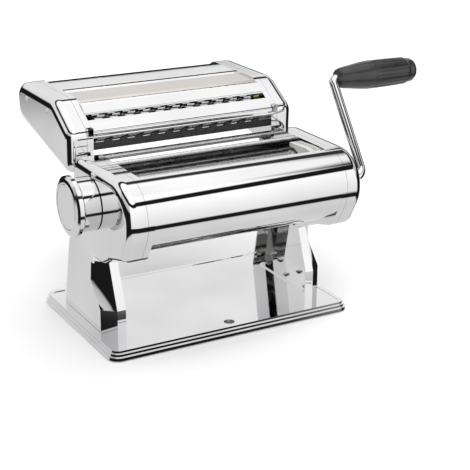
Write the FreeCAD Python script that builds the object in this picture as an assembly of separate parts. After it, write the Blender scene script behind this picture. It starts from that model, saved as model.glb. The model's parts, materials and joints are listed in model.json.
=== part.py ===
import FreeCAD, Part
import math
import os

# Hand-cranked pasta roller machine with a lift-off cutter unit.
# X runs along the rollers towards the crank, -Y is the front, +Z is up.
# The origin is on the table, under the middle of the base. Millimetres.

os.makedirs("parts", exist_ok=True)

# ---- base and legs
base_half_x = 104.0
base_half_y = 68.0
base_top = 7.6
base_gap = 0.6
base_corner = 9.0
sheet = 1.2
leg_outer = 96.6
leg_inner = 79.5
knee_z = 27.3
leg_top = 61.5
leg_shoulder = 76.6
tongue_top = 79.6

# ---- body
web_in = 78.0
web_out = 80.0
rim_out = 83.0
cover_in = 83.2
cover_out = 98.0
wall = 1.0
cover_edge = 7.5
shell_r = 27.4
front_y = -61.0
roller_z = 109.3
rear_y = -25.0
roller_r = 17.85
roller_half = 75.0
journal_r = 6.0
gap_offset = 1.15
spindle_y = rear_y + gap_offset
rear_shell_y = -24.5
rear_shell_z = 107.3
rear_shell_r = 29.4

# ---- roller gears
gear_teeth = 18
gear_in = 84.0
gear_out = 92.0
gear_tip = 20.4
gear_root = 15.1
bridge_in = 93.2
bridge_out = 95.2

# ---- dial knob
knob_face = 117.5
knob_r = 22.6
drum_r = 20.0
housing_r = 17.2
dial_steps = 10
dial_range = 180.0

# ---- crank
crank_x = 116.5
crank_rod = 3.6
arm_dy = 47.5
arm_dz = 67.2
grip_start = 121.0
grip_end = 195.5

# ---- cutter unit
cut_r = 9.6
cut_pair = 17.6
cut_core = 7.3
wide_y = 30.2
wide_z = 147.8
wide_tilt = 20.0
fine_y = 72.0
fine_z = 149.5
cut_teeth = 11
wide_pitch = 13.0
fine_pitch = 4.0
side_play = 0.15


def vec(x, y, z):
    return FreeCAD.Vector(x, y, z)


def box(x0, x1, y0, y1, z0, z1):
    low = vec(min(x0, x1), min(y0, y1), min(z0, z1))
    return Part.makeBox(abs(x1 - x0), abs(y1 - y0), abs(z1 - z0), low)


def rod_x(x0, x1, y, z, r):
    return Part.makeCylinder(r, abs(x1 - x0), vec(min(x0, x1), y, z), vec(1, 0, 0))


def rod_z(z0, z1, x, y, r):
    return Part.makeCylinder(r, abs(z1 - z0), vec(x, y, min(z0, z1)), vec(0, 0, 1))


def tube_x(x0, x1, y, z, r_out, r_in):
    return rod_x(x0, x1, y, z, r_out).cut(rod_x(min(x0, x1) - 1, max(x0, x1) + 1, y, z, r_in))


def fuse(shapes):
    result = shapes[0]
    if len(shapes) > 1:
        result = shapes[0].fuse(shapes[1:])
    return result.removeSplitter()


def group(shapes):
    return Part.makeCompound(shapes)


def save(name, shape):
    if not shape.isValid():
        print("not valid:", name)
    for solid in shape.Solids:
        if solid.Volume <= 0:
            print("bad volume:", name)
    shape.exportStep("parts/" + name + ".step")
    print(name, len(shape.Solids), round(shape.Volume, 1))


def mirror_x(shape):
    return shape.mirror(vec(0, 0, 0), vec(1, 0, 0))


def inset(points, distance):
    # Moves every edge of a closed polygon inwards; the polygon runs anticlockwise or clockwise.
    area = 0.0
    count = len(points)
    for i in range(count):
        a = points[i]
        b = points[(i + 1) % count]
        area += a[0] * b[1] - b[0] * a[1]
    side = 1.0 if area > 0 else -1.0
    lines = []
    for i in range(count):
        a = points[i]
        b = points[(i + 1) % count]
        dx = b[0] - a[0]
        dy = b[1] - a[1]
        length = math.hypot(dx, dy)
        nx = -dy / length * side
        ny = dx / length * side
        lines.append((a[0] + nx * distance, a[1] + ny * distance, dx / length, dy / length))
    result = []
    for i in range(count):
        p = lines[i - 1]
        q = lines[i]
        cross = p[2] * q[3] - p[3] * q[2]
        t = ((q[0] - p[0]) * q[3] - (q[1] - p[1]) * q[2]) / cross
        result.append((p[0] + p[2] * t, p[1] + p[3] * t))
    return result


def rounded_wire(points, radii, place):
    # A closed wire of lines and tangent arcs; place turns a flat point into a 3-D one.
    count = len(points)
    starts = []
    ends = []
    mids = []
    for i in range(count):
        before = points[i - 1]
        here = points[i]
        after = points[(i + 1) % count]
        ax = before[0] - here[0]
        ay = before[1] - here[1]
        bx = after[0] - here[0]
        by = after[1] - here[1]
        la = math.hypot(ax, ay)
        lb = math.hypot(bx, by)
        ax, ay, bx, by = ax / la, ay / la, bx / lb, by / lb
        half = math.acos(max(-1.0, min(1.0, ax * bx + ay * by))) / 2.0
        r = radii[i]
        if r <= 0:
            starts.append(here)
            ends.append(here)
            mids.append(None)
            continue
        t = r / math.tan(half)
        starts.append((here[0] + ax * t, here[1] + ay * t))
        ends.append((here[0] + bx * t, here[1] + by * t))
        cx = ax + bx
        cy = ay + by
        lc = math.hypot(cx, cy)
        reach = r / math.sin(half) - r
        mids.append((here[0] + cx / lc * reach, here[1] + cy / lc * reach))
    edges = []
    for i in range(count):
        if mids[i] is not None:
            arc = Part.Arc(place(starts[i]), place(mids[i]), place(ends[i]))
            edges.append(arc.toShape())
        following = starts[(i + 1) % count]
        gap = math.hypot(following[0] - ends[i][0], following[1] - ends[i][1])
        if gap > 1e-6:
            edges.append(Part.LineSegment(place(ends[i]), place(following)).toShape())
    return Part.Wire(edges)


def prism_x(points, radii, x0, x1):
    low = min(x0, x1)
    wire = rounded_wire(points, radii, lambda p: vec(low, p[0], p[1]))
    return Part.Face(wire).extrude(vec(abs(x1 - x0), 0, 0))


def prism_z(points, radii, z0, z1):
    wire = rounded_wire(points, radii, lambda p: vec(p[0], p[1], z0))
    return Part.Face(wire).extrude(vec(0, 0, z1 - z0))


def edge_fillet(solid, x, radius):
    # Rounds every edge that lies in the plane at this x.
    chosen = []
    for edge in solid.Edges:
        bb = edge.BoundBox
        if abs(bb.XMin - x) < 1e-4 and abs(bb.XMax - x) < 1e-4:
            chosen.append(edge)
    return solid.makeFillet(radius, chosen)


def arc_sheet(cy, cz, r_out, thick, a0, a1, x0, x1):
    # A bent sheet: part of a tube along X, from angle a0 to a1 (degrees, 0 towards +Y, 90 up).
    def at(r, a):
        return vec(x0, cy + r * math.cos(math.radians(a)), cz + r * math.sin(math.radians(a)))
    mid = (a0 + a1) / 2.0
    r_in = r_out - thick
    edges = [
        Part.Arc(at(r_out, a0), at(r_out, mid), at(r_out, a1)).toShape(),
        Part.LineSegment(at(r_out, a1), at(r_in, a1)).toShape(),
        Part.Arc(at(r_in, a1), at(r_in, mid), at(r_in, a0)).toShape(),
        Part.LineSegment(at(r_in, a0), at(r_out, a0)).toShape(),
    ]
    return Part.Face(Part.Wire(edges)).extrude(vec(x1 - x0, 0, 0))


def strip_x(line, thick, x0, x1):
    # A bent sheet whose middle line is a list of (y, z) points.
    left = []
    right = []
    count = len(line)
    for i in range(count):
        a = line[max(i - 1, 0)]
        b = line[min(i + 1, count - 1)]
        dy = b[0] - a[0]
        dz = b[1] - a[1]
        length = math.hypot(dy, dz)
        ny = -dz / length
        nz = dy / length
        stretch = 1.0
        if 0 < i < count - 1:
            e = (line[i][0] - a[0], line[i][1] - a[1])
            le = math.hypot(e[0], e[1])
            stretch = 1.0 / max(0.5, abs(-e[1] / le * ny + e[0] / le * nz))
        h = thick / 2.0 * stretch
        left.append((line[i][0] + ny * h, line[i][1] + nz * h))
        right.append((line[i][0] - ny * h, line[i][1] - nz * h))
    points = left + right[::-1]
    wire = Part.makePolygon([vec(x0, p[0], p[1]) for p in points + [points[0]]])
    return Part.Face(wire).extrude(vec(x1 - x0, 0, 0))


def spline_sheet_x(line, thick, x0, x1):
    # A smoothly bent sheet: the outer line is a curve through the points, the inner one lies inside it.
    outer = []
    inner = []
    count = len(line)
    for i in range(count):
        a = line[max(i - 1, 0)]
        b = line[min(i + 1, count - 1)]
        dy = b[0] - a[0]
        dz = b[1] - a[1]
        length = math.hypot(dy, dz)
        outer.append(line[i])
        inner.append((line[i][0] + dz / length * thick, line[i][1] - dy / length * thick))
    curve_a = Part.BSplineCurve()
    curve_a.interpolate([vec(x0, p[0], p[1]) for p in outer])
    curve_b = Part.BSplineCurve()
    curve_b.interpolate([vec(x0, p[0], p[1]) for p in inner])
    ends = [
        Part.LineSegment(vec(x0, outer[-1][0], outer[-1][1]), vec(x0, inner[-1][0], inner[-1][1])).toShape(),
        Part.LineSegment(vec(x0, inner[0][0], inner[0][1]), vec(x0, outer[0][0], outer[0][1])).toShape(),
    ]
    wire = Part.Wire(Part.__sortEdges__([curve_a.toShape(), ends[0], curve_b.toShape(), ends[1]]))
    return Part.Face(wire).extrude(vec(x1 - x0, 0, 0))


def gear_x(x0, x1, cy, cz, teeth, root, tip, half_root, half_pitch, half_tip, pitch_r, turn):
    # Slender straight teeth with slightly curved-looking flanks of two flats each.
    points = []
    step = 2.0 * math.pi / teeth
    for i in range(teeth):
        a = turn + i * step
        for r, h in ((root, -half_root), (pitch_r, -half_pitch), (tip, -half_tip),
                     (tip, half_tip), (pitch_r, half_pitch), (root, half_root)):
            ang = a + h / r
            points.append(vec(x0, cy + r * math.cos(ang), cz + r * math.sin(ang)))
    wire = Part.makePolygon(points + [points[0]])
    return Part.Face(wire).extrude(vec(x1 - x0, 0, 0))


def screw_x(x_head, direction, y, z, shank, r_head=2.6, r_shank=1.5, head=1.2):
    # Slotted screw; the head's outer face is at x_head and the shank runs in the given direction.
    top = rod_x(x_head, x_head + direction * head, y, z, r_head)
    body = rod_x(x_head + direction * head, x_head + direction * (head + shank), y, z, r_shank)
    slot = box(x_head - direction * 0.1, x_head + direction * 0.6, y - r_head, y + r_head, z - 0.35, z + 0.35)
    return top.fuse(body).cut(slot)


# ---- outlines of the drawn side pieces, as (y, z)
cover_blank = [(-88.4, 136.7), (8.0, 136.7), (34.0, 62.0), (-35.0, 64.5), (-49.0, 72.2), (-75.4, 78.8),
               (-88.4, 101.9)]
blank_radii = [27.4, 10.5, 10.5, 10.5, 8.0, 10.5, 26.5]
body_outline = [(-88.4, 136.7), (8.0, 136.7), (28.78, 77.0), (-21.5, 77.0), (-21.5, 64.5), (-35.0, 64.5),
                (-49.0, 72.2), (-75.4, 78.8), (-88.4, 101.9)]
body_radii = [27.4, 10.5, 0.0, 1.0, 9.0, 8.0, 8.0, 10.5, 26.5]
cutter_outline = [(46.0, 170.2), (124.0, 170.2), (123.0, 140.7), (15.6, 116.0), (15.0, 151.2)]
cutter_radii = [18.0, 13.0, 13.0, 10.0, 10.0]


def slimmer(radii, thick):
    return [0.0 if r == 0 else max(r - thick, 0.5) for r in radii]


def tray(outline, radii, x_web0, x_web1, x_rim, thick):
    # A flat web with a rim that stands away from the rollers.
    outer = prism_x(outline, radii, x_web0, x_rim)
    pocket = prism_x(inset(outline, thick), slimmer(radii, thick), x_web1, x_rim + 1.0)
    return outer.cut(pocket)


def drawn_cover(outline, radii, x_in, x_out, thick, edge):
    # A deep-drawn cap, open towards the rollers, with a rounded outer edge.
    outer = edge_fillet(prism_x(outline, radii, x_in, x_out), x_out, edge)
    less = slimmer(radii, thick)
    inner = prism_x(inset(outline, thick), less, x_in - 1.0, x_out - thick)
    inner = edge_fillet(inner, x_out - thick, edge - thick)
    return outer.cut(inner)


# ================= base =================
def slab(half_x, half_y, corner, z0, z1):
    points = [(-half_x, -half_y), (half_x, -half_y), (half_x, half_y), (-half_x, half_y)]
    return prism_z(points, [corner] * 4, z0, z1)


base = fuse([
    slab(base_half_x, base_half_y, base_corner, base_gap, 2.9),
    slab(base_half_x - 1.3, base_half_y - 1.3, base_corner - 1.3, 2.9, 5.3),
    slab(base_half_x - 2.6, base_half_y - 2.6, base_corner - 2.6, 5.3, base_top),
])
base = base.cut(slab(base_half_x - 4.0, base_half_y - 4.0, base_corner - 4.0, 0.0, base_top - sheet))
base = base.cut(slab(base_half_x - 6.0, base_half_y - 6.0, base_corner - 5.0, base_top - 0.45, base_top + 1.0))
rivet_ys = (-26.0, 4.0, 34.0)
floor_z = base_top - 0.45
rivet_x = 89.0
for side in (-1, 1):
    for y in rivet_ys:
        base = base.cut(rod_z(0, 12, side * rivet_x, y, 1.6))
clamp_y = -56.0
clamp_r = 4.2
clamp_block = rod_z(1.2, base_top - sheet, 0, clamp_y, 8.0)
clamp_block = clamp_block.cut(rod_z(0, 12, 0, clamp_y, clamp_r))
base = base.cut(rod_z(0, 12, 0, clamp_y, clamp_r))
save("base_plate", base)
save("clamp_socket", clamp_block)

pad_parts = [slab(base_half_x - 5.5, base_half_y - 5.5, base_corner - 5.0, 0.0, 1.5)]
for x in (-72.0, 0.0, 72.0):
    for y in (-40.0, 40.0):
        pad_parts.append(rod_z(1.0, base_top - sheet, x, y, 6.0))
base_pad = fuse(pad_parts)
base_pad = base_pad.cut(rod_z(-1, 12, 0, clamp_y, 8.4))
save("base_pad", base_pad)


# ================= legs =================
def leg_section(z, inner):
    # Plan of the pressed leg at one height: flange, rounded-off corner, side panel, rear corner and flange.
    if z <= knee_z:
        front = -40.0
    else:
        front = -40.0 + (z - knee_z) * 14.6 / 38.7
    rear = 44.0 - (z - base_top) * 11.5 / 54.0
    if z <= knee_z:
        corner = 8.5
    elif z <= 46.0:
        corner = 8.5 + (z - knee_z) * 9.5 / 18.7
    else:
        corner = 18.0 - (z - 46.0) * 10.0 / 20.0
    points = [
        (leg_inner, front), (86.5, front), (leg_outer, front + corner),
        (leg_outer, rear - 7.0), (leg_outer - 5.0, rear), (leg_inner, rear),
    ]
    if inner:
        shrunk = inset(points, sheet)
        depth = leg_inner - 12.0
        shrunk[0] = (depth, shrunk[0][1])
        shrunk[5] = (depth, shrunk[5][1])
        points = shrunk
    return Part.makePolygon([vec(p[0], p[1], z) for p in points + [points[0]]])


def leg_piece(z0, z1):
    outer = Part.makeLoft([leg_section(z0, False), leg_section(z1, False)], True, True)
    inner = Part.makeLoft([leg_section(z0, True), leg_section(z1, True)], True, True)
    return outer.cut(inner)


def make_leg():
    levels = [floor_z, knee_z, 46.0, leg_top]
    pieces = []
    for i in range(len(levels) - 1):
        pieces.append(leg_piece(levels[i], levels[i + 1]))
    tongue = box(leg_outer - sheet, leg_outer, -20.5, 23.0, leg_top - 0.5, tongue_top)
    back = []
    for z in (leg_top, leg_shoulder):
        rear = 44.0 - (z - base_top) * 11.5 / 54.0 - (z - leg_top) * 0.14
        points = [(84.0, rear), (leg_outer - 5.0, rear), (leg_outer, rear - 7.0), (leg_outer, 10.0),
                  (leg_outer - sheet, 10.0), (leg_outer - sheet, rear - 7.5), (leg_outer - 5.5, rear - sheet),
                  (84.0, rear - sheet)]
        back.append(Part.makePolygon([vec(p[0], p[1], z) for p in points + [points[0]]]))
    shoulder = Part.makeLoft(back, True, True)
    foot = box(leg_outer - 14.0, leg_outer - 0.6, -31.0, 36.5, floor_z, floor_z + sheet)
    leg = fuse(pieces + [tongue, shoulder, foot])
    for y in rivet_ys:
        leg = leg.cut(rod_z(0, 12, rivet_x, y, 1.6))
    return leg


leg_spacer_at = [(-7.0, 71.0), (18.0, 71.0)]
leg = make_leg()
save("right_leg", leg)
save("left_leg", mirror_x(leg))

rivets = []
for side in (-1, 1):
    for y in rivet_ys:
        x = side * rivet_x
        shank = rod_z(floor_z - sheet, floor_z + sheet, x, y, 1.55)
        head = Part.makeCone(3.0, 1.8, 1.2, vec(x, y, floor_z + sheet), vec(0, 0, 1))
        tail = rod_z(base_top - sheet - 1.0, base_top - sheet, x, y, 2.8)
        rivets.append(fuse([shank, head, tail]))
save("leg_rivets", group(rivets))

# ================= side plates =================
spacer_r = 3.6
right_post_at = [(-43.0, 128.5), (-43.0, 88.5), (3.5, 98.0)]
cover_post_left = [(-28.7, 131.6), (16.0, 84.0)]
edge_post_end = 94.4
post_end = 96.0
cover_post_right = [(-70.5, 88.0), (16.0, 84.0)]
tie_at = [(-82.2, 102.0), (-64.2, 86.6), (-14.7, 85.9), (-3.0, 117.0)]
tie_r = 2.6
guide_y0 = 6.2
guide_y1 = 16.2
guide_top = 112.0

plate = tray(body_outline, body_radii, web_in, web_out, rim_out, sheet)
plate = fuse([plate, box(web_in, web_out, -21.5, 26.0, 62.0, 78.0)])
for y, z in tie_at:
    plate = plate.cut(rod_x(70, 90, y, z, 1.6))
for y, z in leg_spacer_at:
    plate = plate.cut(rod_x(70, 90, y, z, 1.7))

right_plate = plate.cut(rod_x(70, 90, front_y, roller_z, 10.0))
right_plate = right_plate.cut(rod_x(70, 90, spindle_y, roller_z, 15.3))
left_plate = mirror_x(plate).cut(rod_x(-90, -70, front_y, roller_z, 8.5))
left_plate = left_plate.cut(rod_x(-90, -70, spindle_y, roller_z, 9.0))
save("right_side_plate", right_plate)
save("left_side_plate", left_plate)

spacers = []
for side in (-1, 1):
    for y, z in leg_spacer_at:
        spacers.append(tube_x(side * web_out, side * (leg_outer - sheet), y, z, spacer_r, 1.7))
for y, z in right_post_at:
    spacers.append(tube_x(web_out, bridge_in, y, z, spacer_r, 1.6))
for y, z in cover_post_left:
    reach = edge_post_end if z > 120.0 else post_end
    spacers.append(tube_x(-web_out, -reach, y, z, 2.4, 1.6))
for y, z in cover_post_right:
    spacers.append(tube_x(web_out, post_end, y, z, 2.4, 1.6))
save("spacers", group(spacers))

# ================= bridge plate outside the gears =================
bridge = prism_x([(-72.0, 122.0), (-43.0, 137.0), (9.5, 108.0), (9.5, 91.0), (-43.0, 80.5), (-72.0, 96.0)],
                 [6, 6, 6, 6, 6, 6], bridge_in, bridge_out)
bridge = bridge.cut(rod_x(90, 100, front_y, roller_z, 8.05))
bridge = bridge.cut(rod_x(90, 100, spindle_y, roller_z, 5.5))
for y, z in right_post_at:
    bridge = bridge.cut(rod_x(90, 100, y, z, 1.6))
limit = prism_x(inset(body_outline, 3.4), slimmer(body_radii, 3.4), 90, 100)
bridge = bridge.common(limit)
save("bridge_plate", bridge)

# ================= bushes =================
bushes = []
bushes.append(fuse([rod_x(-web_in, -75.4, front_y, roller_z, 11.0),
                    rod_x(-83.0, -web_in, front_y, roller_z, 8.5)]).cut(
                        rod_x(-90, -70, front_y, roller_z, journal_r + 0.05)))
bushes.append(fuse([rod_x(75.4, web_in, front_y, roller_z, 12.0),
                    rod_x(web_in, 83.4, front_y, roller_z, 10.0)]).cut(
                        rod_x(70, 90, front_y, roller_z, 8.05)))
bushes.append(fuse([rod_x(bridge_in, bridge_out, spindle_y, roller_z, 5.5),
                    rod_x(bridge_out, bridge_out + 0.9, spindle_y, roller_z, 7.0)]).cut(
                        rod_x(90, 100, spindle_y, roller_z, 4.05)))
save("roller_bushes", group(bushes))

# ================= shells and tie rods =================
front_shell = arc_sheet(front_y, roller_z, shell_r, wall, 97.0, 270.0, -web_in, web_in)
lip = box(-web_in, web_in, front_y - 0.5, front_y + 5.0, roller_z - shell_r, roller_z - shell_r + wall)
front_shell = fuse([front_shell, lip])
top_hem_y = front_y + (shell_r - 1.2) * math.cos(math.radians(97.0))
top_hem_z = roller_z + (shell_r - 1.2) * math.sin(math.radians(97.0))
front_shell = fuse([front_shell, rod_x(-web_in, web_in, top_hem_y, top_hem_z, 1.2)])
save("front_shell", front_shell)

rear_shell = arc_sheet(rear_shell_y, rear_shell_z, rear_shell_r, wall, -78.0, 79.0, -web_in, web_in)
hem_y = rear_shell_y + (rear_shell_r - 1.2) * math.cos(math.radians(79.0))
hem_z = rear_shell_z + (rear_shell_r - 1.2) * math.sin(math.radians(79.0))
rear_shell = fuse([rear_shell, rod_x(-web_in, web_in, hem_y, hem_z, 1.2)])
save("rear_shell", rear_shell)

ties = []
for y, z in tie_at:
    bar = rod_x(-web_in, web_in, y, z, tie_r)
    bar = bar.cut(rod_x(-web_in - 1, -66.0, y, z, 1.5))
    bar = bar.cut(rod_x(66.0, web_in + 1, y, z, 1.5))
    ties.append(bar)
save("tie_rods", group(ties))

# ================= scrapers and dough guides =================
scrapers = []
scrapers.append(strip_x([(-51.6, 92.2), (-57.8, 89.0), (-59.5, 84.0)], 1.2, -web_in, web_in))
scrapers.append(strip_x([(-33.2, 92.0), (-27.0, 87.0), (-22.0, 87.0)], 1.2, -web_in, web_in))
save("roller_scrapers", group(scrapers))

guide_points = [(-63.5, 130.5), (-43.0, 133.0), (-21.0, 132.0), (-21.0, 126.0), (-43.0, 100.0), (-63.5, 126.0)]
guide = prism_x(guide_points, [0, 0, 0, 0, 0, 0], 73.0, web_in)
guide = guide.cut(rod_x(70, 80, front_y, roller_z, roller_r + 0.7))
guide = guide.cut(rod_x(70, 80, spindle_y, roller_z, roller_r + gap_offset + 0.7))
guide = max(guide.Solids, key=lambda s: s.Volume)
save("dough_guide_right", guide)
save("dough_guide_left", mirror_x(guide))

# ================= slide guides for the cutter unit =================
guides = []
for side in (-1, 1):
    block = box(70.0, web_in, guide_y0, guide_y1, 84.0, guide_top)
    block = block.cut(box(71.2, 76.8, 8.7, 11.7, 87.0, 130.0))
    block = block.cut(box(72.6, 75.4, 10.7, 20.0, 87.0, 130.0))
    if side < 0:
        block = mirror_x(block)
    guides.append(block)
save("slide_guides", group(guides))

# ================= dial housing =================
housing = fuse([rod_x(-83.5, -web_in, spindle_y, roller_z, 9.0),
                rod_x(-92.0, -83.5, spindle_y, roller_z, 11.0),
                rod_x(-cover_out, -92.0, spindle_y, roller_z, housing_r)])
housing = housing.cut(rod_x(-100, -70, spindle_y, roller_z, 5.05))
for i in range(dial_steps):
    a = math.radians(i * dial_range / (dial_steps - 1) - 90.0)
    y = spindle_y + 13.5 * math.cos(a)
    z = roller_z + 13.5 * math.sin(a)
    housing = housing.cut(rod_x(-99, -94.0, y, z, 1.7))
save("dial_housing", housing)

# ================= covers =================
cover = drawn_cover(cover_blank, blank_radii, cover_in, cover_out, wall, cover_edge)
cover = cover.common(prism_x(body_outline, body_radii, cover_in - 1, cover_out + 1))
right_cover = cover.cut(rod_x(95, 100, front_y, roller_z, 8.4))
for y, z in cover_post_right:
    right_cover = right_cover.cut(rod_x(95, 100, y, z, 1.6))
left_cover = mirror_x(cover).cut(rod_x(-100, -95, spindle_y, roller_z, housing_r + 0.05))
for y, z in cover_post_left:
    left_cover = left_cover.cut(rod_x(-100, -95, y, z, 1.6))
seat_y, seat_z = cover_post_left[0]
left_cover = left_cover.cut(rod_x(-100, -97.6, seat_y, seat_z, 2.3))
save("right_cover", right_cover)
save("left_cover", left_cover)

screws = []
for (y, z), lift in zip(cover_post_left, (0.6, 1.0)):
    screws.append(screw_x(-(cover_out + lift), 1, y, z, 9.0, 2.2, 1.55, 1.0))
for y, z in cover_post_right:
    screws.append(screw_x(cover_out + 1.0, -1, y, z, 9.0, 2.2, 1.55, 1.0))
save("cover_screws", group(screws))

screws = []
for side in (-1, 1):
    for y, z in leg_spacer_at:
        screws.append(screw_x(side * (web_in - 1.2), side, y, z, 12.0, 3.0, 1.65, 1.2))
for y, z in right_post_at:
    screws.append(screw_x(bridge_out + 1.2, -1, y, z, 14.0, 3.0, 1.55, 1.2))
for side in (-1, 1):
    for y, z in tie_at:
        screws.append(screw_x(side * (web_out + 1.4), -side, y, z, 12.0, 2.8, 1.5, 1.4))
save("frame_screws", group(screws))

# ================= front roller, driven by the crank =================
socket_r = crank_rod + 0.1
front_roller = fuse([
    rod_x(-roller_half, roller_half, front_y, roller_z, roller_r),
    rod_x(-83.5, -roller_half, front_y, roller_z, journal_r),
    rod_x(roller_half, 97.4, front_y, roller_z, 8.0),
])
front_roller = front_roller.cut(rod_x(70.0, 110.0, front_y, roller_z, socket_r))
save("front_roller", front_roller)

half_root, half_pitch, half_tip = 1.1, 0.86, 0.42
front_gear = gear_x(gear_in, gear_out, front_y, roller_z, gear_teeth, gear_root, gear_tip,
                    half_root, half_pitch, half_tip, 18.0, 0.0)
front_gear = front_gear.cut(rod_x(80, 100, front_y, roller_z, 8.0))
save("front_gear", front_gear)

# ================= rear roller on its eccentric spindle =================
neck_r = 12.5
lobe_r = 8.0
sleeve_r = 11.0
rear_roller = fuse([
    rod_x(-roller_half, roller_half, rear_y, roller_z, roller_r),
    rod_x(roller_half, gear_out, rear_y, roller_z, neck_r),
])
rear_roller = rear_roller.cut(rod_x(-80, 100, rear_y, roller_z, 8.6))
for x0, x1 in ((-80.0, -55.0), (68.0, 95.0)):
    rear_roller = rear_roller.cut(rod_x(x0, x1, rear_y, roller_z, sleeve_r + 0.05))
save("rear_roller", rear_roller)

turn = math.pi + math.pi / gear_teeth
rear_gear = gear_x(gear_in, gear_out, rear_y, roller_z, gear_teeth, gear_root, gear_tip,
                   half_root, half_pitch, half_tip, 18.0, turn)
rear_gear = rear_gear.cut(rod_x(80, 100, rear_y, roller_z, neck_r))
save("rear_gear", rear_gear)

sleeves = [
    tube_x(-74.5, -56.0, rear_y, roller_z, sleeve_r, lobe_r + 0.05),
    tube_x(69.0, 91.5, rear_y, roller_z, sleeve_r, lobe_r + 0.05),
]
save("roller_sleeves", group(sleeves))

spindle = fuse([
    rod_x(-98.3, bridge_out + 0.9, spindle_y, roller_z, 4.0),
    rod_x(-98.3, -76.0, spindle_y, roller_z, 5.0),
    rod_x(-74.5, -56.0, rear_y, roller_z, lobe_r),
    rod_x(69.0, 91.5, rear_y, roller_z, lobe_r),
    box(-112.0, -98.3, spindle_y - 3.2, spindle_y + 3.2, roller_z - 3.2, roller_z + 3.2),
])
spindle = spindle.cut(rod_x(-113, -102, spindle_y, roller_z, 1.7))
save("dial_spindle", spindle)

retainer = fuse([
    rod_x(-113.2, -112.0, spindle_y, roller_z, 7.0),
    rod_x(-114.8, -113.2, spindle_y, roller_z, 3.4),
    rod_x(-112.0, -103.0, spindle_y, roller_z, 1.65),
])
save("knob_retainer", retainer)

# ================= knob =================
rim_profile = [
    (-98.6, 0.0), (-98.6, drum_r), (-110.6, drum_r), (-111.2, drum_r - 1.0), (-112.2, drum_r - 1.0),
    (-112.6, knob_r), (-115.6, knob_r), (-117.0, knob_r - 2.0), (-117.5, knob_r - 4.6), (-117.5, 0.0),
]


def revolve_x(profile, y, z):
    # Turns a list of (x, r) points about the X-parallel axis through (y, z).
    wire = Part.makePolygon([vec(p[0], y, z + p[1]) for p in profile + [profile[0]]])
    return Part.Face(wire).revolve(vec(0, y, z), vec(1, 0, 0), 360)


knob = revolve_x(rim_profile, spindle_y, roller_z)
knob = knob.cut(rod_x(-115.3, -104.6, spindle_y, roller_z, 16.0))
knob = knob.cut(rod_x(-117.6, -115.2, spindle_y, roller_z, 17.0))
knob = knob.cut(rod_x(-101.0, -98.0, spindle_y, roller_z, 9.0))
hole = box(-106.0, -98.0, spindle_y - 3.3, spindle_y + 3.3, roller_z - 3.3, roller_z + 3.3)
knob = knob.cut(hole)
pin_y = spindle_y
pin_z = roller_z - 13.5
knob = knob.cut(rod_x(-103.6, -98.0, pin_y, pin_z, 1.5))
save("knob", knob)
cap = revolve_x([(-115.2, 0.0), (-115.2, 17.0), (-117.1, 17.0), (-117.5, 16.4), (-117.5, 0.0)],
                spindle_y, roller_z)
save("knob_cap", cap)
save("knob_lock_pin", rod_x(-103.6, -98.3, pin_y, pin_z, 1.5))

coil_points = []
turns = 4
for i in range(turns * 12 + 1):
    a = math.radians(i * 30.0)
    coil_points.append(vec(-111.4 + 6.2 * i / (turns * 12.0), spindle_y + 5.4 * math.cos(a),
                           roller_z + 5.4 * math.sin(a)))
coil_curve = Part.BSplineCurve()
coil_curve.interpolate(coil_points)
coil_wire = Part.Wire([coil_curve.toShape()])
start = coil_points[0]
tangent = coil_curve.tangent(coil_curve.FirstParameter)[0]
section = Part.Wire([Part.makeCircle(0.55, start, tangent)])
spring = coil_wire.makePipeShell([section], True, True)
save("knob_spring", spring)

# ================= crank =================
arm_len = math.hypot(arm_dy, arm_dz)
uy = arm_dy / arm_len
uz = arm_dz / arm_len
bend = 7.0
grip_bend = 4.5
grip_shoulder = 187.0


def crank_point(along, up):
    return vec(along, front_y + uy * up, roller_z + uz * up)


shaft_start = 74.0
half = math.sqrt(0.5)
p0 = crank_point(shaft_start, 0)
p1 = crank_point(crank_x - bend, 0)
p_mid = crank_point(crank_x - bend + bend * half, bend - bend * half)
p2 = crank_point(crank_x, bend)
p3 = crank_point(crank_x, arm_len - grip_bend)
p_turn = crank_point(crank_x + grip_bend - grip_bend * half, arm_len - grip_bend + grip_bend * half)
p4 = crank_point(crank_x + grip_bend, arm_len)
p5 = crank_point(grip_shoulder, arm_len)
path = Part.Wire([
    Part.LineSegment(p0, p1).toShape(),
    Part.Arc(p1, p_mid, p2).toShape(),
    Part.LineSegment(p2, p3).toShape(),
    Part.Arc(p3, p_turn, p4).toShape(),
    Part.LineSegment(p4, p5).toShape(),
])
ring = Part.Wire([Part.makeCircle(crank_rod, p0, vec(1, 0, 0))])
end_y = front_y + arm_dy
end_z = roller_z + arm_dz
arm = path.makePipeShell([ring], True, True)
arm = arm.cut(rod_x(grip_shoulder - 9.0, grip_shoulder + 1.0, end_y, end_z, 1.7))
save("crank_arm", arm)

# Washer-faced screw in the end of the rod, in a recess of the grip.
save("grip_screw", fuse([
    rod_x(grip_shoulder - 8.5, grip_shoulder, end_y, end_z, 1.65),
    rod_x(grip_shoulder, grip_shoulder + 0.8, end_y, end_z, 5.2),
    rod_x(grip_shoulder + 0.8, grip_shoulder + 2.6, end_y, end_z, 3.4),
]).cut(box(grip_shoulder + 1.8, grip_shoulder + 3.0, end_y - 0.4, end_y + 0.4, end_z - 3.6, end_z + 3.6)))

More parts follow.
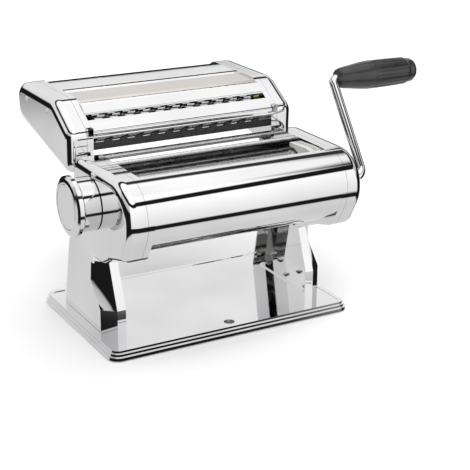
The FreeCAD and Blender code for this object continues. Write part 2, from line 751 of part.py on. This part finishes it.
grip_profile = [
    (grip_start, 0.0), (grip_start, 6.6), (122.2, 7.6), (126.0, 8.5), (133.0, 9.4), (140.0, 10.4),
    (147.0, 11.2), (152.0, 11.4), (170.0, 11.3), (184.5, 10.9), (186.0, 10.4), (187.0, 9.9),
    (191.5, 9.5), (194.0, 8.0), (195.2, 6.0), (grip_end, 0.0),
]
grip = revolve_x(grip_profile, end_y, end_z)
for i in range(14):
    a = 2.0 * math.pi * i / 14.0
    fy = end_y + 12.5 * math.cos(a)
    fz = end_z + 12.5 * math.sin(a)
    flute = rod_x(153.5, 184.0, fy, fz, 1.9)
    ball = Part.makeSphere(1.9, vec(153.5, fy, fz))
    grip = grip.cut(flute.fuse(ball))
grip = grip.cut(rod_x(grip_start - 1, grip_shoulder, end_y, end_z, crank_rod + 0.1))
grip = grip.cut(rod_x(grip_shoulder - 0.2, grip_end + 1, end_y, end_z, 5.5))
save("crank_grip", grip)

# ================= cutter unit =================
cut_plate = tray(cutter_outline, cutter_radii, web_in, web_out, rim_out, sheet)
tilt = math.radians(wide_tilt)
cut_axes = [
    (wide_y, wide_z),
    (wide_y + cut_pair * math.cos(tilt), wide_z + cut_pair * math.sin(tilt)),
    (fine_y, fine_z),
    (fine_y + cut_pair, fine_z),
]
cut_tie_at = [(23.0, 127.3), (63.0, 163.3), (108.0, 158.0), (105.0, 143.0), (48.5, 133.5)]
for y, z in cut_axes:
    cut_plate = cut_plate.cut(rod_x(70, 90, y, z, 6.0))
for y, z in cut_tie_at:
    cut_plate = cut_plate.cut(rod_x(70, 90, y, z, 1.6))
save("cutter_right_plate", cut_plate)
save("cutter_left_plate", mirror_x(cut_plate))

cut_post_at = [(58.0, 159.5), (101.0, 159.6)]
cut_cover = drawn_cover(cutter_outline, cutter_radii, cover_in, cover_out, wall, cover_edge)
for y, z in cut_post_at:
    cut_cover = cut_cover.cut(rod_x(95, 100, y, z, 1.6))
cut_left = mirror_x(cut_cover)
for y, z in (cut_axes[1], cut_axes[3]):
    cut_cover = cut_cover.cut(rod_x(95, 100, y, z, 5.3))
save("cutter_right_cover", cut_cover)
save("cutter_left_cover", cut_left)

posts = []
for side in (-1, 1):
    for y, z in cut_post_at:
        posts.append(tube_x(side * web_out, side * post_end, y, z, 2.2, 1.6))
for y, z in cut_tie_at:
    bar = rod_x(-web_in, web_in, y, z, 2.4)
    bar = bar.cut(rod_x(-web_in - 1, -66.0, y, z, 1.4))
    bar = bar.cut(rod_x(66.0, web_in + 1, y, z, 1.4))
    posts.append(bar)
save("cutter_tie_rods", group(posts))

screws = []
for side in (-1, 1):
    for y, z in cut_post_at:
        screws.append(screw_x(side * (cover_out + 1.0), -side, y, z, 9.0, 2.2, 1.55, 1.0))
    for y, z in cut_tie_at:
        screws.append(screw_x(side * (web_out + 1.3), -side, y, z, 11.0, 2.6, 1.35, 1.3))
save("cutter_screws", group(screws))

bushes = []
for side in (-1, 1):
    for y, z in cut_axes:
        bush = fuse([rod_x(side * 75.5, side * web_in, y, z, 7.2), rod_x(side * web_in, side * 81.5, y, z, 6.0)])
        bushes.append(bush.cut(rod_x(side * 70, side * 90, y, z, 4.55)))
save("cutter_bushes", group(bushes))

rear_top = [(73.5, 164.5), (73.6, 167.4), (76.0, 169.0), (84.0, 170.0), (98.0, 170.2), (108.0, 169.6),
            (115.5, 167.2), (120.6, 162.4), (122.8, 156.0), (122.6, 150.0), (121.0, 144.0)]
save("cutter_rear_shell", spline_sheet_x(rear_top, wall, -web_in, web_in))
panel = strip_x([(67.5, 160.5), (67.5, 168.2), (42.6, 168.2), (41.6, 166.6)], wall, -web_in, web_in)
save("cutter_middle_panel", panel)
middle_top = [(32.0, 158.6), (30.2, 159.3), (29.9, 160.8), (31.6, 162.6), (35.0, 165.0), (38.6, 167.2),
              (40.4, 167.6), (40.9, 166.6)]
save("cutter_middle_cover", spline_sheet_x(middle_top, wall, -web_in, web_in))
front_top = [(14.6, 146.4), (14.5, 149.0), (14.8, 150.6), (15.6, 151.9), (17.6, 153.3), (20.7, 155.1),
             (24.4, 157.3)]
front_sheet = fuse([
    spline_sheet_x(front_top, wall, -web_in, web_in),
    rod_x(-web_in, web_in, 15.5, 146.4, 1.1),
    rod_x(-web_in, web_in, 14.9, 150.6, 0.5),
])
save("cutter_front_shell", front_sheet)
blocks = []
for side in (-1, 1):
    block = box(side * 78.4, side * 82.8, 13.5, 18.0, 147.6, 153.6)
    blocks.append(block.cut(prism_x(cutter_outline, cutter_radii, side * 77.0, side * 84.0)))
save("lip_end_blocks", group(blocks))


def cutter_roller(pitch, shift, y, z, x_left, x_right, socket):
    # Discs and cores alternate; the partner roller's discs run in the gaps.
    width = pitch / 2.0 - side_play
    points = [(-roller_half, 0.0), (-roller_half, cut_core)]
    x = -roller_half + shift
    while x + width <= roller_half - 0.05:
        if x > -roller_half + 0.2:
            points.append((x, cut_core))
        else:
            points[-1] = (-roller_half, cut_r)
            x = -roller_half
        if x > -roller_half + 0.2:
            points.append((x, cut_r))
        points.append((x + width, cut_r))
        points.append((x + width, cut_core))
        x = round(x / 1.0, 6) + pitch
    points.append((roller_half, cut_core))
    points.append((roller_half, 0.0))
    body = revolve_x(points, y, z)
    left = rod_x(x_left, -roller_half, y, z, 4.5)
    right = rod_x(roller_half, x_right, y, z, 4.5)
    roller = fuse([body, left, right])
    if socket:
        roller = roller.cut(rod_x(x_right - 22.0, x_right + 1, y, z, socket_r))
    return roller


left_end = -90.5
(w1y, w1z), (w2y, w2z), (f1y, f1z), (f2y, f2z) = cut_axes
save("wide_idler", cutter_roller(wide_pitch, 3.5, w1y, w1z, left_end, 82.5, False))
save("wide_driver", cutter_roller(wide_pitch, 3.5 + wide_pitch / 2.0, w2y, w2z, left_end, 97.4, True))
save("fine_idler", cutter_roller(fine_pitch, 1.0, f1y, f1z, left_end, 82.5, False))
save("fine_driver", cutter_roller(fine_pitch, 1.0 + fine_pitch / 2.0, f2y, f2z, left_end, 97.4, True))

for name, y, z, spin in (
        ("wide_idler_gear", w1y, w1z, tilt),
        ("wide_driver_gear", w2y, w2z, tilt + math.pi + math.pi / cut_teeth),
        ("fine_idler_gear", f1y, f1z, 0.0),
        ("fine_driver_gear", f2y, f2z, math.pi + math.pi / cut_teeth)):
    wheel = gear_x(-90.0, -84.0, y, z, cut_teeth, 7.1, 9.4, 1.15, 0.9, 0.55, 8.8, spin)
    wheel = wheel.cut(rod_x(-95, -80, y, z, 4.5))
    save(name, wheel)

# ---- combs that strip the ribbons out of the cutter gaps
combs = []
finger_room = 0.45


def comb(y, z, side_y, pitch, shift, count):
    # A strip below the roller with fingers that reach up into the gaps between its discs.
    # Stays outside the roller's core.
    y_strip = y + side_y * 6.0
    strip = box(-web_in, web_in, y_strip - 1.1, y_strip + 1.1, z - cut_r - 4.2, z - 8.7)
    fingers = []
    disc = pitch / 2.0 - side_play
    free = pitch - disc
    for i in range(count):
        x0 = -roller_half + shift + disc + i * pitch + finger_room
        x1 = x0 + free - 2.0 * finger_room
        if x1 > roller_half - 0.5:
            break
        fingers.append(box(x0, x1, y_strip - 1.1, y_strip + 1.1, z - cut_r - 1.6, z - 6.2))
    whole = fuse([strip] + fingers)
    return whole.cut(rod_x(-80, 80, y, z, cut_core + 0.4))


save("wide_combs", group([comb(w1y, w1z, -1, wide_pitch, 3.5, 20),
                          comb(w2y, w2z, 1, wide_pitch, 3.5 + wide_pitch / 2.0, 20)]))
save("fine_combs", group([comb(f1y, f1z, -1, fine_pitch, 1.0, 60),
                          comb(f2y, f2z, 1, fine_pitch, 1.0 + fine_pitch / 2.0, 60)]))

# ---- hooks that hang the cutter unit in the slide guides
hooks = []
for side in (-1, 1):
    tee = fuse([
        box(71.5, 76.5, 9.0, 11.4, 87.3, 122.0),
        box(72.9, 75.1, 11.4, 16.5, 87.3, 124.4),
        box(72.9, 75.1, 16.5, 25.5, 118.0, 124.4),
        box(72.9, web_in, 19.0, 25.5, 119.5, 124.4),
    ])
    if side < 0:
        tee = mirror_x(tee)
    hooks.append(tee)
save("cutter_hooks", group(hooks))
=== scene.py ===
import json
import math

import bpy
from mathutils import Matrix, Vector

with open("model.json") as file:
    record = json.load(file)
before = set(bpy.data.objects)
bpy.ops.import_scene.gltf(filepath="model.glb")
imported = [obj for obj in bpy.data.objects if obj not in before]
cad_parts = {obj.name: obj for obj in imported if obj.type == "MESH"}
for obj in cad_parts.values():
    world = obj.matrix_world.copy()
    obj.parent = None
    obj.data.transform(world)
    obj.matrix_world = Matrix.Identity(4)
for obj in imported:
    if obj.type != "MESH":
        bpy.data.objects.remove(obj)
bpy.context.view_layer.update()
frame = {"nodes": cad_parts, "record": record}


# ---------------------------------------------------------------- materials
def new_material(name):
    m = bpy.data.materials.new(name)
    m.use_nodes = True
    nt = m.node_tree
    return m, nt, nt.nodes["Principled BSDF"]


def coords(nt, scale):
    tex = nt.nodes.new("ShaderNodeTexCoord")
    mp = nt.nodes.new("ShaderNodeMapping")
    mp.inputs["Scale"].default_value = scale
    nt.links.new(tex.outputs["Object"], mp.inputs["Vector"])
    return mp.outputs["Vector"]


def noise(nt, vector, scale, detail=3.0, rough=0.5):
    n = nt.nodes.new("ShaderNodeTexNoise")
    n.inputs["Scale"].default_value = scale
    n.inputs["Detail"].default_value = detail
    n.inputs["Roughness"].default_value = rough
    nt.links.new(vector, n.inputs["Vector"])
    return n.outputs["Fac"]


def spread(nt, value, low, high, start=0.0, end=1.0):
    r = nt.nodes.new("ShaderNodeMapRange")
    r.inputs["From Min"].default_value = start
    r.inputs["From Max"].default_value = end
    r.inputs["To Min"].default_value = low
    r.inputs["To Max"].default_value = high
    nt.links.new(value, r.inputs["Value"])
    return r.outputs["Result"]


def tint(nt, value, low, high, start=0.3, end=0.7):
    ramp = nt.nodes.new("ShaderNodeValToRGB")
    ramp.color_ramp.elements[0].position = start
    ramp.color_ramp.elements[0].color = (*low, 1.0)
    ramp.color_ramp.elements[1].position = end
    ramp.color_ramp.elements[1].color = (*high, 1.0)
    nt.links.new(value, ramp.inputs["Fac"])
    return ramp.outputs["Color"]


def bump(nt, height, strength, distance):
    b = nt.nodes.new("ShaderNodeBump")
    b.inputs["Strength"].default_value = strength
    b.inputs["Distance"].default_value = distance
    nt.links.new(height, b.inputs["Height"])
    return b


def chrome(name, low, high, rough_low, rough_high, waves):
    # Polished plating: a faint drift of colour, fine polishing haze and very shallow waves of pressed sheet.
    m, nt, bsdf = new_material(name)
    v = coords(nt, (1, 1, 1))
    bsdf.inputs["Metallic"].default_value = 1.0
    drift = noise(nt, v, 14.0, 2.0)
    nt.links.new(tint(nt, drift, low, high), bsdf.inputs["Base Color"])
    haze = noise(nt, coords(nt, (1.0, 3.0, 3.0)), 160.0, 4.0, 0.6)
    nt.links.new(spread(nt, haze, rough_low, rough_high, 0.35, 0.75), bsdf.inputs["Roughness"])
    sheet = noise(nt, coords(nt, (0.5, 1.0, 1.0)), 22.0, 1.0)
    b = bump(nt, sheet, waves, 0.0006)
    nt.links.new(b.outputs["Normal"], bsdf.inputs["Normal"])
    return m


def turned_steel(name, low, high, axis_scale, rough_low, rough_high):
    # Ground or turned steel: fine rings round the axis along X.
    m, nt, bsdf = new_material(name)
    bsdf.inputs["Metallic"].default_value = 1.0
    rings = noise(nt, coords(nt, axis_scale), 260.0, 3.0, 0.6)
    nt.links.new(tint(nt, rings, low, high), bsdf.inputs["Base Color"])
    nt.links.new(spread(nt, rings, rough_low, rough_high, 0.3, 0.7), bsdf.inputs["Roughness"])
    b = bump(nt, rings, 0.25, 0.00008)
    nt.links.new(b.outputs["Normal"], bsdf.inputs["Normal"])
    return m


def grooved(name, y, z, core, rim):
    # Cutter roller: bright ground disc rims, with the grooves between the discs painted near-black as shade;
    # the painted shade follows the distance from the roller's axis.
    m, nt, bsdf = new_material(name)
    bsdf.inputs["Metallic"].default_value = 1.0
    tex = nt.nodes.new("ShaderNodeTexCoord")
    flat = nt.nodes.new("ShaderNodeMapping")
    flat.inputs["Location"].default_value = (0.0, -y, -z)
    flat.inputs["Scale"].default_value = (0.0, 1.0, 1.0)
    nt.links.new(tex.outputs["Object"], flat.inputs["Vector"])
    radius = nt.nodes.new("ShaderNodeVectorMath")
    radius.operation = "LENGTH"
    nt.links.new(flat.outputs["Vector"], radius.inputs[0])
    level = spread(nt, radius.outputs["Value"], 0.0, 1.0, core, rim)
    # painted shade: near-black in the grooves, bright steel at the disc rims
    shade = tint(nt, level, (0.03, 0.03, 0.03), (0.86, 0.86, 0.86), 0.55, 0.85)
    nt.links.new(shade, bsdf.inputs["Base Color"])
    rings = noise(nt, coords(nt, (6.0, 0.5, 0.5)), 260.0, 3.0, 0.6)
    nt.links.new(spread(nt, rings, 0.22, 0.40, 0.3, 0.7), bsdf.inputs["Roughness"])
    b = bump(nt, rings, 0.25, 0.00008)
    nt.links.new(b.outputs["Normal"], bsdf.inputs["Normal"])
    return m


def moulded(name, low, high, rough_low, rough_high, grain, strength, coat=0.0):
    # Moulded plastic or rubber: fine grain, patchy sheen.
    m, nt, bsdf = new_material(name)
    v = coords(nt, (1, 1, 1))
    patches = noise(nt, v, 60.0, 3.0)
    nt.links.new(tint(nt, patches, low, high), bsdf.inputs["Base Color"])
    nt.links.new(spread(nt, patches, rough_low, rough_high, 0.3, 0.7), bsdf.inputs["Roughness"])
    bsdf.inputs["Coat Weight"].default_value = coat
    bsdf.inputs["Coat Roughness"].default_value = 0.12
    fine = noise(nt, v, grain, 2.0)
    b = bump(nt, fine, strength, 0.0001)
    nt.links.new(b.outputs["Normal"], bsdf.inputs["Normal"])
    return m


bright = chrome("bright_chrome", (0.70, 0.70, 0.71), (0.80, 0.80, 0.795), 0.02, 0.06, 0.05)
base_chrome = chrome("base_chrome", (0.66, 0.66, 0.67), (0.76, 0.76, 0.76), 0.03, 0.08, 0.06)
knob_chrome = chrome("knob_chrome", (0.66, 0.66, 0.665), (0.76, 0.76, 0.755), 0.05, 0.12, 0.03)
# the middle panel's beige tint is a painted warm reflection, not the colour of the plating
panel_chrome_painted_reflection = chrome("panel_chrome_painted_reflection", (0.58, 0.54, 0.50), (0.66, 0.61, 0.57), 0.07, 0.14, 0.04)
zinc = chrome("zinc_plate", (0.52, 0.52, 0.53), (0.68, 0.68, 0.69), 0.22, 0.42, 0.10)
rollers = turned_steel("ground_steel", (0.66, 0.66, 0.67), (0.78, 0.78, 0.785), (9.0, 0.4, 0.4), 0.16, 0.30)
# the combs are coloured near-black as painted shade of the shadowed gap under the lip
comb_painted_shade_steel = turned_steel("comb_painted_shade_steel", (0.05, 0.05, 0.05), (0.11, 0.11, 0.115), (3.0, 1.0, 1.0), 0.40, 0.60)
gear_steel = turned_steel("gear_steel", (0.42, 0.41, 0.40), (0.58, 0.57, 0.56), (2.0, 1.0, 1.0), 0.30, 0.50)
brass = turned_steel("bearing_brass", (0.62, 0.45, 0.18), (0.78, 0.60, 0.28), (6.0, 0.5, 0.5), 0.22, 0.40)
black = moulded("grip_black", (0.010, 0.010, 0.011), (0.026, 0.026, 0.028), 0.24, 0.36, 900.0, 0.10, 0.25)
cream = moulded("guide_plastic", (0.66, 0.65, 0.61), (0.78, 0.77, 0.74), 0.40, 0.55, 700.0, 0.12)
rubber = moulded("pad_rubber", (0.022, 0.022, 0.022), (0.045, 0.045, 0.045), 0.70, 0.90, 1400.0, 0.30)

finish_of = {
    "chrome": bright,
    "plated_steel": zinc,
    "roller_steel": rollers,
    "bearing_brass": brass,
    "black_plastic": black,
    "white_plastic": cream,
    "pad_rubber": rubber,
}
# Cutter rollers: axis of each as (y, z), radius in the grooves and at the disc rims, in metres.
cutter_axes = {
    "wide_driver": (0.04674, 0.15382),
    "wide_idler": (0.0302, 0.1478),
    "fine_driver": (0.0896, 0.1495),
    "fine_idler": (0.072, 0.1495),
}
groove_radius = 0.0072
disc_radius = 0.0096
special = {
    "base_plate": base_chrome,
    "knob": knob_chrome,
    "knob_cap": knob_chrome,
    "cutter_middle_panel": panel_chrome_painted_reflection,
    "left_side_plate": bright,
    "right_side_plate": bright,
    "cutter_left_plate": bright,
    "cutter_right_plate": bright,
    "lip_end_blocks": bright,
    "wide_combs": comb_painted_shade_steel,
    "fine_combs": comb_painted_shade_steel,
    "front_gear": gear_steel,
    "rear_gear": gear_steel,
    "wide_driver_gear": gear_steel,
    "wide_idler_gear": gear_steel,
    "fine_driver_gear": gear_steel,
    "fine_idler_gear": gear_steel,
}
for name, (y, z) in cutter_axes.items():
    special[name] = grooved(name + "_steel", y, z, groove_radius, disc_radius)
slot_of = {s["node"]: s["material_slot"] for s in frame["record"]["subparts"]}
for name, node in frame["nodes"].items():
    m = special.get(name, finish_of[slot_of[name]])
    if not node.material_slots:
        node.data.materials.append(m)
    for s in node.material_slots:
        s.material = m

# ---------------------------------------------------------------- floor, light, camera
FLOOR_SIZE = 30.0
FLOOR_HEIGHT = -0.0004  # just under the feet, so that the two faces don't fight
bpy.ops.mesh.primitive_plane_add(size=FLOOR_SIZE, location=(0, 0, FLOOR_HEIGHT))
floor = bpy.context.object
floor.name = "studio_floor"
fm, fnt, fbsdf = new_material("studio_floor")
fv = noise(fnt, coords(fnt, (1, 1, 1)), 3.0, 2.0)
fnt.links.new(tint(fnt, fv, (0.90, 0.90, 0.90), (0.93, 0.93, 0.93)), fbsdf.inputs["Base Color"])
fbsdf.inputs["Roughness"].default_value = 0.95
fbsdf.inputs["Specular IOR Level"].default_value = 0.0
floor.data.materials.append(fm)
floor.visible_glossy = False

scene = bpy.context.scene
world = bpy.data.worlds.new("studio")
scene.world = world
world.use_nodes = True
wnt = world.node_tree
bg = wnt.nodes["Background"]


def world_math(op, a, b=None):
    n = wnt.nodes.new("ShaderNodeMath")
    n.operation = op
    for i, v in enumerate((a, b)):
        if v is None:
            continue
        if isinstance(v, (int, float)):
            n.inputs[i].default_value = v
        else:
            wnt.links.new(v, n.inputs[i])
    return n.outputs[0]


def world_ramp(value, low, high, stops):
    # Brightness against an angle in degrees.
    scaled = wnt.nodes.new("ShaderNodeMapRange")
    scaled.inputs["From Min"].default_value = math.radians(low)
    scaled.inputs["From Max"].default_value = math.radians(high)
    wnt.links.new(value, scaled.inputs["Value"])
    ramp = wnt.nodes.new("ShaderNodeValToRGB")
    cr = ramp.color_ramp
    while len(cr.elements) < len(stops):
        cr.elements.new(0.5)
    for e, (deg, val) in zip(cr.elements, stops):
        e.position = (deg - low) / (high - low)
        e.color = (val, val, val, 1.0)
    wnt.links.new(scaled.outputs["Result"], ramp.inputs["Fac"])
    return ramp.outputs["Color"]


def world_mix(fac, a, b):
    m = wnt.nodes.new("ShaderNodeMix")
    m.data_type = "RGBA"
    wnt.links.new(fac, m.inputs["Factor"])
    wnt.links.new(a, m.inputs["A"])
    wnt.links.new(b, m.inputs["B"])
    return m.outputs["Result"]


# The surroundings that the chrome mirrors, as brightness against height in degrees: light below, white
# overhead. Dark bands cross them, narrow in front, wider behind and widest at both sides, and draw the
# dark lines in the metal.
tex = wnt.nodes.new("ShaderNodeTexCoord")
sep = wnt.nodes.new("ShaderNodeSeparateXYZ")
wnt.links.new(tex.outputs["Generated"], sep.inputs["Vector"])
height = world_math("ARCSINE", sep.outputs["Z"])
backwards = world_math("MULTIPLY", sep.outputs["Y"], -1.0)
turn = world_math("ABSOLUTE", world_math("ARCTAN2", sep.outputs["X"], backwards))
DARK = 0.012
DIM = 0.04
in_front = world_ramp(height, -90, 90, [
    (-90, 0.80), (-36, 0.86), (-33, DARK), (-24, DARK), (-21, 1.0), (36, 1.35), (38, DARK), (47, DARK),
    (49, 1.35), (90, 1.35)])
at_side = world_ramp(height, -90, 90, [
    (-90, 0.80), (-40, 0.80), (-34, DARK), (14, DARK), (18, 0.62), (34, 0.80), (36, DARK), (50, DARK),
    (56, 1.2), (90, 1.35)])
behind = world_ramp(height, -90, 90, [
    (-90, 0.80), (-15, 0.80), (-12, DARK), (9, DARK), (13, 0.95), (30, 1.05), (38, 1.05),
    (41, DIM), (50, DIM), (54, 1.35), (90, 1.35)])
# The angle from straight ahead at which the front fades into the sides, and the sides into the back.
FRONT_ENDS, SIDE_STARTS = 52, 58
SIDE_ENDS, BACK_STARTS = 116, 122
front_mask = world_ramp(turn, 0, 180, [(0, 1.0), (FRONT_ENDS, 1.0), (SIDE_STARTS, 0.0), (180, 0.0)])
back_mask = world_ramp(turn, 0, 180, [(0, 0.0), (SIDE_ENDS, 0.0), (BACK_STARTS, 1.0), (180, 1.0)])
around = world_mix(back_mask, world_mix(front_mask, at_side, in_front), behind)
wnt.links.new(around, bg.inputs["Color"])
bg.inputs["Strength"].default_value = 1.0


def area(name, loc, target, size, power):
    # A soft light that is not mirrored in the chrome.
    data = bpy.data.lights.new(name, "AREA")
    data.shape = "RECTANGLE"
    data.size = size[0]
    data.size_y = size[1]
    data.energy = power
    o = bpy.data.objects.new(name, data)
    scene.collection.objects.link(o)
    o.location = loc
    o.rotation_euler = (Vector(target) - Vector(loc)).to_track_quat("-Z", "Y").to_euler()
    o.visible_glossy = False


LIGHTS_AIM = (0, 0, 0.05)
KEY_POWER, FILL_POWER = 42.0, 26.0  # watts
area("key", (-1.2, -1.4, 2.6), LIGHTS_AIM, (2.2, 2.2), KEY_POWER)
area("fill", (1.8, 0.6, 2.2), LIGHTS_AIM, (2.4, 2.4), FILL_POWER)

# The camera: its place in metres, its angles in degrees, its lens and sensor in millimetres.
CAMERA_AT = (-0.4332, -0.8178, 0.3982)
CAMERA_YAW, CAMERA_PITCH, CAMERA_ROLL = 29.87, 20.06, 0.6
LENS, SENSOR = 95.2, 36.0
yaw, pitch, roll = math.radians(CAMERA_YAW), math.radians(CAMERA_PITCH), math.radians(CAMERA_ROLL)
flat = math.cos(pitch)
forward = Vector((math.sin(yaw) * flat, math.cos(yaw) * flat, -math.sin(pitch)))
right = Vector((math.cos(yaw), -math.sin(yaw), 0.0))
up = right.cross(forward)
right_r = math.cos(roll) * right + math.sin(roll) * up
up_r = -math.sin(roll) * right + math.cos(roll) * up
cam_data = bpy.data.cameras.new("camera")
cam = bpy.data.objects.new("camera", cam_data)
scene.collection.objects.link(cam)
cam_data.sensor_width = SENSOR
cam_data.lens = LENS
cam_data.clip_end = 60.0
cam.matrix_world = Matrix((
    (right_r.x, up_r.x, -forward.x, CAMERA_AT[0]),
    (right_r.y, up_r.y, -forward.y, CAMERA_AT[1]),
    (right_r.z, up_r.z, -forward.z, CAMERA_AT[2]),
    (0, 0, 0, 1),
))
scene.camera = cam
scene.view_settings.view_transform = "Standard"
scene.view_settings.look = "None"
scene.view_settings.exposure = 0.0
